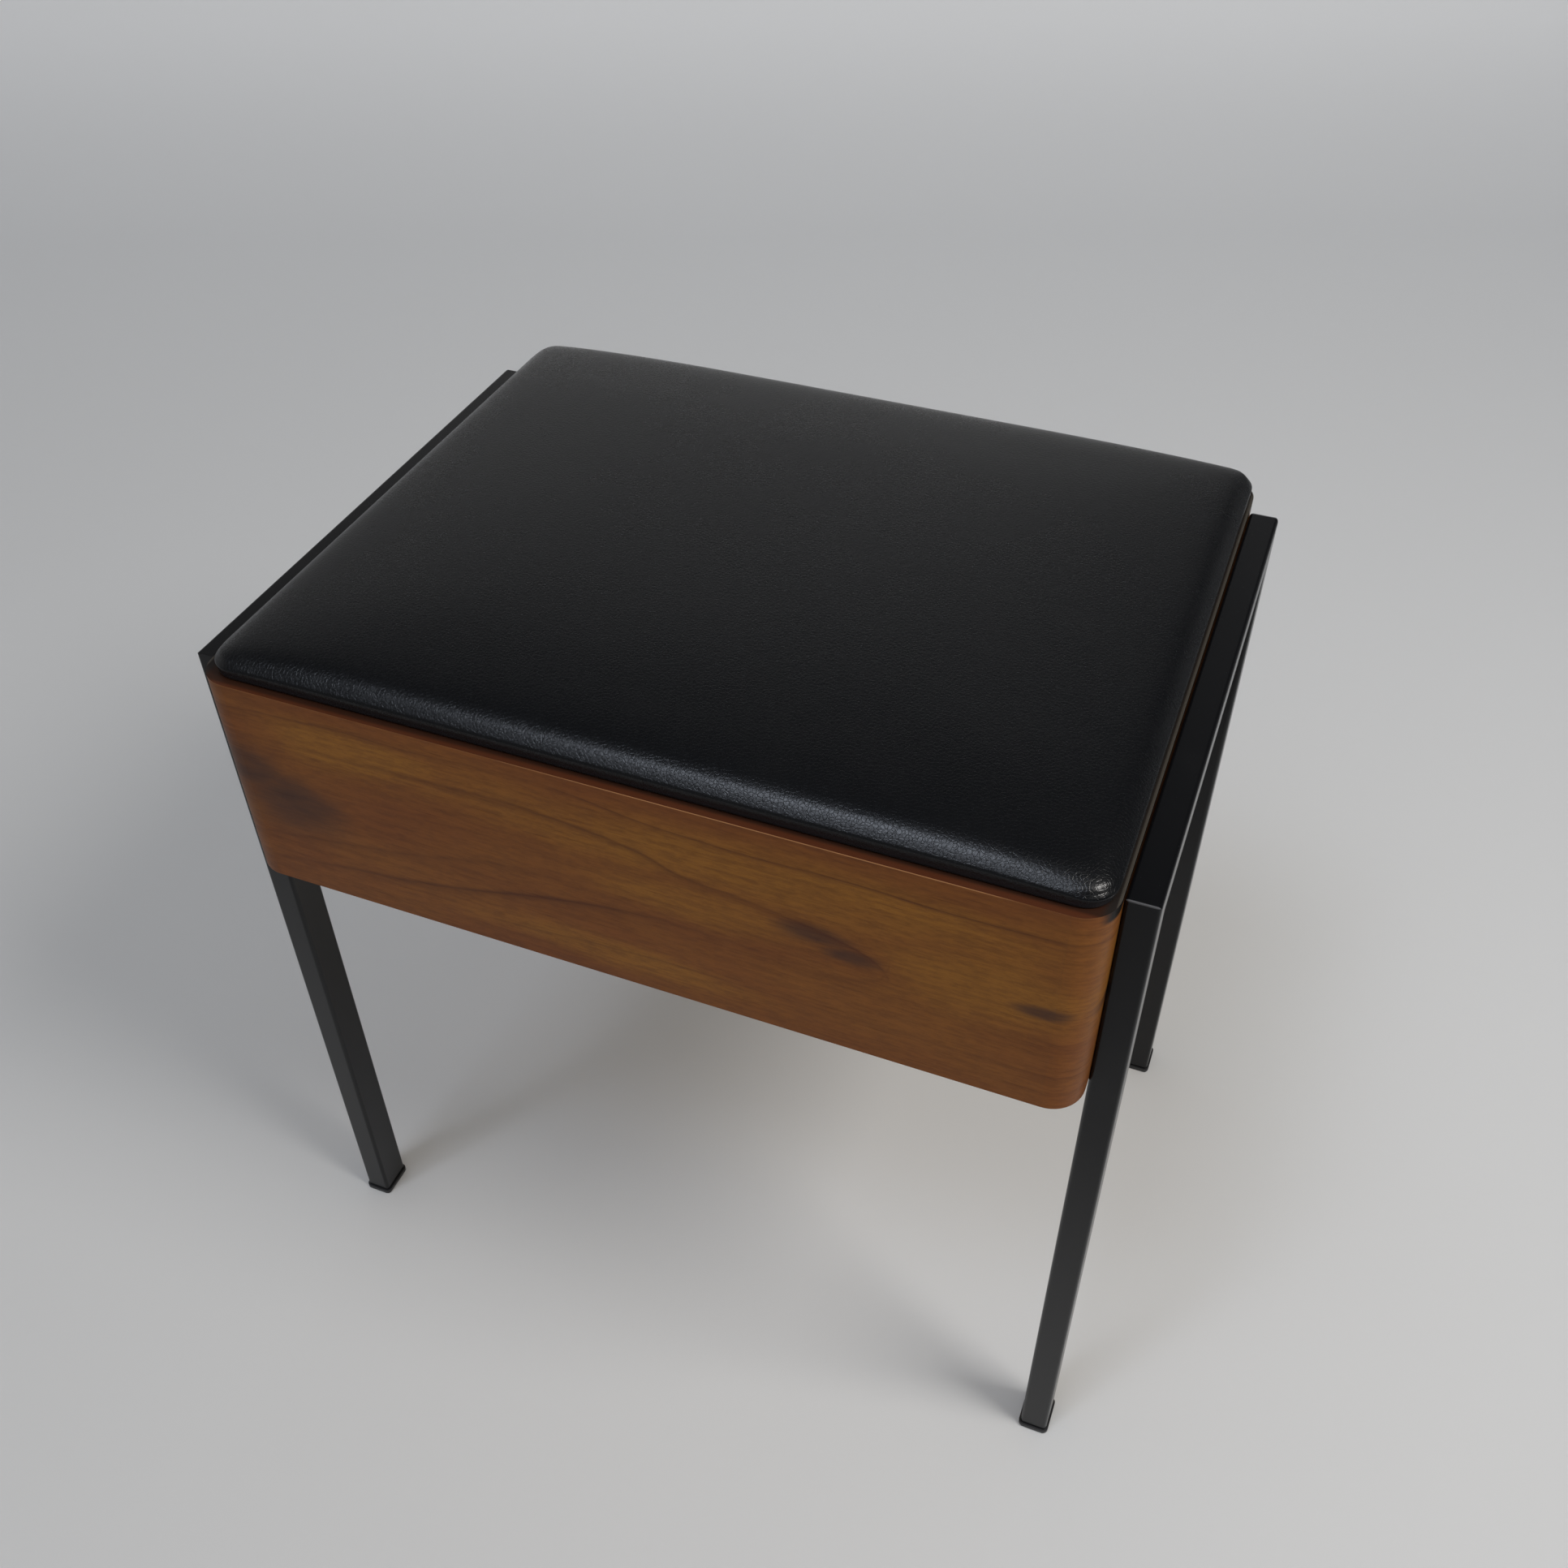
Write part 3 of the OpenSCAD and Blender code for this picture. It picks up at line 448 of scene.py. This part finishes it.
def zincPlate():
    f = newFinish("zincPlate")
    bloom = f.noise(**zinc["bloom"])
    return f.surface({
        "Base Color": f.mix(f.rise(bloom, *zinc["bloomSpan"]), zinc["bright"], zinc["dull"]),
        "Metallic": 1.0,
        "Roughness": zinc["roughness"] + bloom * zinc["rougher"],
        "Normal": f.bump(bloom, *zinc["bump"]),
    })


vinyl = {
    "colour": (0.0032, 0.0036, 0.0046), "worn": (0.0044, 0.0047, 0.0055), "low": (0.014, 0.015, 0.018),
    "lowSheenReach": (-4.7 * mm, -1.5 * mm),     # painted reflection: the side is lighter low down, over the cover's foot
    "wear": {"scale": 14, "detail": 4, "rough": 0.6}, "wearSpan": (0.45, 0.75, 0.6), "wearRough": 0.10,
    "roughness": 0.20, "hillRough": 0.06,
    "pebbles": {"scale": 760, "random": 0.9}, "pebbleHeight": 0.7,
    "creases": {"scale": 570, "feature": "DISTANCE_TO_EDGE", "span": (0.0, 0.12, 0.5)},
    "hills": {"scale": 780, "rough": 0.6}, "hillHeight": 0.6, "grainBump": (0.55, 0.12 * mm),
    "waves": {"scale": 38, "detail": 2}, "waveBump": (0.12, 0.4 * mm),
}


def blackVinyl():  # a fine printed leather grain over faint waves
    f = newFinish("blackVinyl")
    hills = f.noise(**vinyl["hills"])
    grain = f.cells(**vinyl["pebbles"]) * vinyl["pebbleHeight"] + f.cells(**vinyl["creases"])
    wear = f.noise(**vinyl["wear"])
    colour = f.mix(f.rise(wear, *vinyl["wearSpan"]), vinyl["colour"], vinyl["worn"])
    # painted reflection: a lighter band low on the side of the cover
    low = f.near(f.axis("Z"), coverLow[2], vinyl["lowSheenReach"])
    waves = f.bump(f.noise(**vinyl["waves"]), *vinyl["waveBump"])
    return f.surface({
        "Base Color": f.mix(low, colour, vinyl["low"]),
        "Roughness": vinyl["roughness"] + wear * vinyl["wearRough"] + hills * vinyl["hillRough"],
        "Normal": f.bump(grain + hills * vinyl["hillHeight"], *vinyl["grainBump"], waves),
    })


paintNodes(["left_front_leg", "left_rear_leg", "right_front_leg", "right_rear_leg", "left_rail",
            "right_rail"], satinEnamel())
paintNodes(["left_front_glide", "left_rear_glide", "right_front_glide", "right_rear_glide"], glidePlastic())
paintNodes(["box_shell"], teakVeneer())
paintNodes(["bottom_panel", "lid_board", "lid_lining", "tray_bottom"], birchPly("birchPly", "Z"))
paintNodes(["tray_long_divider"], birchPly("birchPlyAcross", "X"))
paintNodes(["tray_front_divider", "tray_rear_divider"], birchPly("birchPlyAlong", "Y"))
paintNodes(["front_runner", "rear_runner", "tray_front", "tray_back"], beechWood("beechAlong", "along"))
paintNodes(["tray_left_end", "tray_right_end"], beechWood("beechAcross", "across"))
paintNodes(["runner_screws", "left_hinge_wall_leaf", "right_hinge_wall_leaf", "left_hinge_pin",
            "right_hinge_pin", "hinge_wall_screws", "left_hinge_lid_leaf", "right_hinge_lid_leaf",
            "hinge_lid_screws", "lining_screws"], agedBrass())
paintNodes(["frame_screws"], zincPlate())
print("finishes on the solids")

pad = {
    "halfWidth": coverHigh[0] - 0.2 * mm, "halfDepth": coverHigh[1] - 1.1 * mm,   # at its widest level
    "shift": 1.1 * mm,                      # the lid lies this far to the right, by its play
    "lean": 0.8 * mm,                       # the foam leans back: its front is upright, its back isn't
    "foot": coverLow[2], "band": 7.2 * mm, "bandParts": (0.45, 0.75), "tuck": (1.2 * mm, 1.1 * mm),
    "drawIn": 0.2 * mm, "roll": 1.0 * mm, "rollTurns": (75, 40, 5), "recess": 0.5 * mm, "hemStart": 8 * mm,
    "shoulder": 3.0 * mm, "bevel": 45, "bevelTurns": (0, 12, 24, 35, 45),
    "lowCorner": 14 * mm, "topCorner": 20.5 * mm, "leastCorner": 0.2 * mm, "leastRing": 2 * mm,
    "edgeLoops": (1.5, 3, 4.5, 6, 8, 10, 13), "cell": 4.2 * mm,
    # the foam rises quickly by the edge and slowly further in, to a crown
    "quick": 4.6 * mm, "quickReach": 6 * mm, "slow": 4.1 * mm, "slowReach": 23 * mm, "crown": 1.4 * mm,
    # how far the worn edges and the right front corner have sunk, and where that starts, from 0 to 1
    "leftDrop": 3.2 * mm, "rightDrop": 1.6 * mm, "frontDrop": 1.6 * mm, "sagStart": 0.4,
    "cornerDrop": 1.3 * mm, "cornerStart": (0.75, 0.6),
    # the swelling: the edge is held and the cover is free further in; rise is as far as a point may move
    "heldEdge": 10 * mm, "freeFurther": 40 * mm, "rise": 0.8 * mm, "frames": 20,
    "cloth": {"quality": 6, "mass": 0.3, "tension_stiffness": 12, "compression_stiffness": 8,
              "shear_stiffness": 6, "bending_stiffness": 2, "air_damping": 2, "use_pressure": True,
              "uniform_pressure_force": 4.0},
    "leafClear": (0.4 * mm, 0.5 * mm), "hemOverBoard": 0.45 * mm,
}


# a point of a rounded rectangle whose sides are drawn in: u or v is 1 or -1, the other says how far along
def outlinePoint(u, v, a, b, r, draw):
    if abs(u) >= abs(v):
        side, run, half = a, v * b, b - r
    else:
        side, run, half = b, u * a, a - r
    if abs(run) <= half:
        out, along = side - draw * (1 - (run / half) ** 2), run
    else:
        turn = math.radians(45) * min(1, (abs(run) - half) / r)
        out, along = side - r + r * math.cos(turn), math.copysign(half + r * math.sin(turn), run)
    if abs(u) >= abs(v):
        return math.copysign(out, u), along
    return along, math.copysign(out, v)


def bevelInset(turn):  # how far in the bevel is after this much of its turn, in degrees
    return pad["shoulder"] * (1 - math.cos(math.radians(turn)))


def edgeRise(far):  # how much the foam has risen this far in from an edge, up to 1
    far = max(0.0, far - bevelInset(pad["bevel"]))
    return (pad["quick"] * math.tanh(far / pad["quickReach"])
            + pad["slow"] * (1 - math.exp(-far / pad["slowReach"]))) / (pad["quick"] + pad["slow"])


def puffAt(x, y):  # how far the foam lifts the vinyl
    a, b = pad["halfWidth"], pad["halfDepth"]
    u, v = min(1.0, abs(x) / a), min(1.0, abs(y) / b)
    return ((pad["quick"] + pad["slow"]) * edgeRise(a - abs(x)) * edgeRise(b - abs(y))
            + pad["crown"] * (1 - u ** 2) * (1 - v ** 2))


def beyond(far, start):  # from 0 at start to 1 at the edge
    return max(0.0, (far - start) / (1 - start))


def sagAt(x, y):  # how much lower the worn edges are than the rear one
    u, v = abs(x) / pad["halfWidth"], -y / pad["halfDepth"]
    aside = pad["leftDrop" if x < 0 else "rightDrop"] * beyond(u, pad["sagStart"]) ** 2
    ahead = pad["frontDrop"] * beyond(v, pad["sagStart"]) ** 2
    cornerU, cornerV = pad["cornerStart"]
    corner = 0.0 if x < 0 else beyond(u, cornerU) * beyond(v, cornerV)
    return (aside ** 3 + ahead ** 3) ** (1 / 3) + pad["cornerDrop"] * corner


def padForm():  # loops up the side and over the bevel, closed by a grid on top and one under the hem
    across = 2 * round(pad["halfWidth"] / pad["cell"])
    deep = 2 * round(pad["halfDepth"] / pad["cell"])
    foot, (tuckX, tuckY) = pad["foot"], pad["tuck"]
    widest = foot + pad["band"]
    bevelSine = math.sin(math.radians(pad["bevel"]))
    bevelTop = widest + pad["shoulder"] * bevelSine
    bm = bmesh.new()
    rim = [(i, 0) for i in range(across)] + [(across, j) for j in range(deep)] \
        + [(across - i, deep) for i in range(across)] + [(0, deep - j) for j in range(deep)]

    def loop(insetX, insetY, z, corner, draw, lift, lean=1.0):
        made = []
        for i, j in rim:
            x, y = outlinePoint(2 * i / across - 1, 2 * j / deep - 1, pad["halfWidth"] - insetX,
                                pad["halfDepth"] - insetY, corner, draw)
            high = z - sagAt(x, y) * (z - foot) / (bevelTop - foot) + lift * puffAt(x, y)
            made.append(bm.verts.new((x, y + lean * pad["lean"], high)))
        return made

    def sheet(edge, inset, corner, draw, lean, height):  # the grid inside one loop, in rings like its outline
        a, b = pad["halfWidth"] - inset, pad["halfDepth"] - inset
        known = dict(zip(rim, edge))
        for i in range(1, across):
            for j in range(1, deep):
                u, v = 2 * i / across - 1, 2 * j / deep - 1
                x, y = u * a, v * b
                depth = min((1 - abs(u)) * a, (1 - abs(v)) * b)
                ringA, ringB = a - depth, b - depth
                if ringB > pad["leastRing"]:
                    level = 1 - depth / b
                    ringU, ringV = x / ringA, y / ringB
                    most = max(abs(ringU), abs(ringV))
                    r = max(pad["leastCorner"], corner * level ** 1.5)
                    x, y = outlinePoint(ringU / most, ringV / most, ringA, ringB, r, draw * level)
                known[i, j] = bm.verts.new((x, y + lean, height(x, y)))
        return [[known[i, j] for j in range(deep + 1)] for i in range(across + 1)]

    start, recess = pad["hemStart"], pad["recess"]
    lowCorner, topCorner = pad["lowCorner"], pad["topCorner"]
    loops = [loop(start, start, foot + recess, lowCorner - start, pad["drawIn"], 0, 0)]
    for turn in pad["rollTurns"]:  # the roll under the edge, from below
        a = math.radians(turn)
        more = pad["roll"] * (1 - math.cos(a))
        loops.append(loop(tuckX + more, tuckY + more, foot + pad["roll"] * (1 - math.sin(a)),
                          lowCorner - tuckX - more, pad["drawIn"], 0, 0))
    for part in pad["bandParts"]:
        left = (1 - part) ** 1.5
        loops.append(loop(tuckX * left, tuckY * left, foot + pad["band"] * part, lowCorner, 0, 0, 1 - left))
    for turn in pad["bevelTurns"]:
        inset, sine = bevelInset(turn), math.sin(math.radians(turn))
        corner = lowCorner + (topCorner - lowCorner) * turn / pad["bevel"] - inset
        loops.append(loop(inset, inset, widest + pad["shoulder"] * sine, corner, 0, sine / bevelSine))
    for far in pad["edgeLoops"]:
        last = bevelInset(pad["bevel"]) + far * mm
        loops.append(loop(last, last, bevelTop, topCorner - last, 0, 1))
    for lower, upper in zip(loops, loops[1:]):
        for k in range(len(rim)):
            after = (k + 1) % len(rim)
            bm.faces.new((lower[k], lower[after], upper[after], upper[k]))
    top = sheet(loops[-1], last, topCorner - last, 0, pad["lean"],
                lambda x, y: bevelTop + puffAt(x, y) - sagAt(x, y))
    base = sheet(loops[0], start, lowCorner - start, pad["drawIn"], 0, lambda x, y: foot + recess)
    for i in range(across):
        for j in range(deep):
            bm.faces.new((top[i][j], top[i + 1][j], top[i + 1][j + 1], top[i][j + 1]))
            bm.faces.new((base[i][j], base[i][j + 1], base[i + 1][j + 1], base[i + 1][j]))
    mesh = bpy.data.meshes.new("seatPad")
    bm.to_mesh(mesh)
    bm.free()
    mesh.shade_smooth()
    form = bpy.data.objects.new("seatPad", mesh)
    bpy.context.scene.collection.objects.link(form)
    return form, bevelTop


def inflate(form, bevelTop):  # the vinyl swells over the foam; its sides and hem are stapled, so held
    held = form.vertex_groups.new(name="held")
    for vert in form.data.vertices:
        x, y, z = vert.co
        free = 0
        if z > bevelTop - pad["leftDrop"] - pad["frontDrop"]:
            inside = min(pad["halfWidth"] - abs(x), pad["halfDepth"] - abs(y)) - pad["heldEdge"]
            free = max(0.0, min(1.0, inside / pad["freeFurther"]))
        held.add([vert.index], 1 - free, "REPLACE")
    cloth = form.modifiers.new("swell", "CLOTH")
    for key, value in pad["cloth"].items():
        setattr(cloth.settings, key, value)
    cloth.settings.vertex_group_mass = "held"
    cloth.settings.effector_weights.gravity = 0
    cloth.collision_settings.use_collision = False
    cloth.collision_settings.use_self_collision = False
    cloth.point_cache.frame_start = 1
    cloth.point_cache.frame_end = pad["frames"]
    scene = bpy.context.scene
    for number in range(1, pad["frames"] + 1):
        scene.frame_set(number)
        bpy.context.view_layer.update()
    swollen = form.evaluated_get(bpy.context.evaluated_depsgraph_get())
    moves = [new.co - vert.co for new, vert in zip(swollen.to_mesh().vertices, form.data.vertices)]
    swollen.to_mesh_clear()
    most = max(move.length for move in moves)
    for move, vert in zip(moves, form.data.vertices):
        vert.co += move * (pad["rise"] / most)
    form.modifiers.remove(cloth)
    scene.frame_set(1)
    print("pad swollen, its furthest point by %.1f mm before the cap" % (most / mm))


def seatPad():
    form, bevelTop = padForm()
    inflate(form, bevelTop)
    leafLow, leafHigh = corners("right_hinge_lid_leaf")  # the left one is its mirror image
    clearX, clearY = pad["leafClear"]
    hem = corners("lid_board")[0][2] + pad["hemOverBoard"]
    for vert in form.data.vertices:  # the hem lies over the hinge leaves
        vert.co.x += pad["shift"]
        x, y, z = vert.co
        byLeaf = leafLow[0] - clearX < abs(x) < leafHigh[0] + clearX and y > leafLow[1] - clearY
        if byLeaf and z < hem:
            vert.co.z = hem
    finer = form.modifiers.new("finer", "SUBSURF")
    finer.levels = finer.render_levels = 1
    form.data.materials.append(blackVinyl())
    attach(form, "lid")
    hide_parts("seat_cover", "seat_foam")
    print("seat pad:", len(form.data.vertices), "points")


seatPad()

photoView = {"focal": 1937.2, "frame": 1932, "azimuth": 22.04, "elevation": 42.33, "roll": -0.61,
             "place": (0.24786, -0.58912, 0.88750), "sensor": 36, "clip": (0.05, 50)}
lamp = {"azimuth": -11.6, "elevation": 50, "far": 2.1, "aim": (0, 0, 0.3), "size": 0.80, "power": 24,
        "colour": (1.0, 0.975, 0.94)}
# a shade is where it starts, where it is full and how deep it is then: metres on the floor, 0 to 1 in the sky
studio = {
    "floor": (0.60, 0.60, 0.595), "wall": (0.78, 0.78, 0.775), "wallFrom": (0.0, 0.25), "roughness": 0.75,
    "reach": 6.0, "wallAhead": 1.45, "curve": 0.45, "curveSteps": 12, "wallTop": 1.1,
    "dark": (0.02, 0.02, 0.02), "rightFloor": (0.4, 1.4, 0.6), "leftFloor": (-0.3, -1.2, 0.36),
    "frontFloor": (-0.25, -0.55, 0.5),
}
sky = {
    "stops": ((0.0, 0.60), (0.25, 0.50), (0.50, 0.30), (0.64, 0.14), (0.73, 0.03), (1.0, 0.02)), "level": 1.0,
    "dark": (0.02, 0.02, 0.02), "asideShades": ((-0.25, 0.20, 0.6), (0.08, 0.32, 0.95), (-0.42, -0.70, 0.36)),
    "frontDark": (0.03, 0.03, 0.03), "frontShade": (-0.10, -0.45, 0.8),
    "behind": (0.62, 0.62, 0.62), "fill": (0.295, 0.290, 0.283),
    "windowColour": (0.80, 0.87, 1.0), "overheadTurn": (0.26, -0.02), "overheadHeight": (0.88, 0.94, 0.15),
}
# a tall soft window in front and a brighter pane in it: where each stands, in degrees round the stool, and
# its light by the sine of the height
windows = (
    {"turn": (-150, -104, -98, -90), "level": 5.6, "panes": (
        (0.58, 0.0), (0.66, 0.12), (0.74, 0.21), (0.80, 0.38), (0.86, 0.85), (0.90, 1.0), (0.94, 0.9),
        (0.965, 0.1), (1.0, 0.0))},
    {"turn": (-132, -124, -120, -113), "level": 9.5, "panes": (
        (0.79, 0.0), (0.87, 0.9), (0.90, 1.0), (0.94, 0.9), (0.965, 0.1), (1.0, 0.0))},
)


def studioFloor():  # a plain floor that sweeps up behind, square to the camera
    turn = math.radians(photoView["azimuth"])
    ahead, side = Vector((-math.sin(turn), math.cos(turn), 0)), Vector((math.cos(turn), math.sin(turn), 0))
    steps = [(-studio["reach"], 0.0)]
    for k in range(studio["curveSteps"] + 1):
        a = math.radians(90 * k / studio["curveSteps"])
        steps.append((studio["wallAhead"] + studio["curve"] * math.sin(a),
                      studio["curve"] * (1 - math.cos(a))))
    steps.append((studio["wallAhead"] + studio["curve"], studio["wallTop"]))
    points = []
    for far, high in steps:
        for way in (-1, 1):
            points.append(ahead * far + side * way * studio["reach"] + Vector((0, 0, high)))
    faces = [(2 * k, 2 * k + 1, 2 * k + 3, 2 * k + 2) for k in range(len(steps) - 1)]
    mesh = bpy.data.meshes.new("studioFloor")
    mesh.from_pydata(points, [], faces)
    mesh.shade_smooth()
    floor = bpy.data.objects.new("studioFloor", mesh)
    bpy.context.scene.collection.objects.link(floor)
    f = newFinish("plainFloor")
    aside = f.vector("DOT_PRODUCT", f.coords(), tuple(side), out="Value")
    back = f.vector("DOT_PRODUCT", f.coords(), tuple(ahead), out="Value")
    shade = (f.rise(aside, *studio["rightFloor"]) + f.rise(aside, *studio["leftFloor"])
             + f.rise(back, *studio["frontFloor"]))
    mirrored = f.node("LightPath", out="Is Glossy Ray") * shade
    plain = f.mix(f.rise(f.axis("Z"), *studio["wallFrom"]), studio["floor"], studio["wall"])
    colour = f.mix(mirrored, plain, studio["dark"])
    mesh.materials.append(f.surface({"Base Color": colour, "Roughness": studio["roughness"]}))


def studioSky():  # pale near the horizon, darker overhead and to the front, with the windows' glow
    world = bpy.data.worlds.new("studioSky")
    bpy.context.scene.world = world
    f = Finish(world)
    x, y, height = (f.axis(letter, "Generated") for letter in "XYZ")
    height = f.math("MAXIMUM", height, 0.0)
    colour = f.ramp(height, sky["stops"])
    for shade in sky["asideShades"]:
        colour = f.mix(f.rise(x, *shade), colour, sky["dark"])
    colour = f.mix(f.rise(y, *sky["frontShade"]), colour, sky["frontDark"])
    turn = f.math("ARCTAN2", y, x) * math.degrees(1)
    light = f.rise(y, *sky["overheadTurn"]) * f.rise(height, *sky["overheadHeight"])
    for window in windows:
        a, b, c, d = window["turn"]
        shown = f.rise(turn, a, b) * f.rise(turn, d, c)
        light = light + shown * f.ramp(height, window["panes"]) * window["level"]
    grey = f.node("CombineXYZ", None, {0: light, 1: light, 2: light})
    glow = f.vector("MULTIPLY", sky["windowColour"], grey)
    colour = f.mix(1.0, colour, glow, "ADD")
    colour = f.mix(f.node("LightPath", out="Is Diffuse Ray"), colour, sky["fill"], "ADD")
    colour = f.mix(f.node("LightPath", out="Is Camera Ray"), colour, sky["behind"])
    background = f.node("Background", None, {"Color": colour, "Strength": sky["level"]})
    f.node("OutputWorld", None, {"Surface": background})


def studioLamp():
    data = bpy.data.lights.new("mainLamp", "AREA")
    data.shape = "DISK"
    data.size = lamp["size"]
    data.energy = lamp["power"]
    data.color = lamp["colour"]
    a, e = math.radians(lamp["azimuth"]), math.radians(lamp["elevation"])
    way = Vector((math.cos(a) * math.cos(e), math.sin(a) * math.cos(e), math.sin(e)))
    thing = bpy.data.objects.new("mainLamp", data)
    thing.location = Vector(lamp["aim"]) + way * lamp["far"]
    thing.rotation_euler = (-way).to_track_quat("-Z", "Y").to_euler()
    bpy.context.scene.collection.objects.link(thing)


def photoCamera():
    az, el, roll = (math.radians(photoView[key]) for key in ("azimuth", "elevation", "roll"))
    forward = Vector((-math.sin(az) * math.cos(el), math.cos(az) * math.cos(el), -math.sin(el)))
    right = forward.cross(Vector((0, 0, 1))).normalized()
    up = right.cross(forward)
    rightRolled = right * math.cos(roll) + up * math.sin(roll)
    upRolled = up * math.cos(roll) - right * math.sin(roll)
    data = bpy.data.cameras.new("photoCamera")
    data.sensor_width = photoView["sensor"]
    data.lens = photoView["sensor"] * photoView["focal"] / photoView["frame"]
    data.clip_start, data.clip_end = photoView["clip"]
    camera = bpy.data.objects.new("photoCamera", data)
    camera.matrix_world = Matrix.Translation(photoView["place"]) @ Matrix(
        (rightRolled, upRolled, -forward)).transposed().to_4x4()
    bpy.context.scene.collection.objects.link(camera)
    bpy.context.scene.camera = camera


studioFloor()
studioSky()
studioLamp()
photoCamera()
bpy.context.scene.view_settings.view_transform = "Standard"
print("studio and camera")
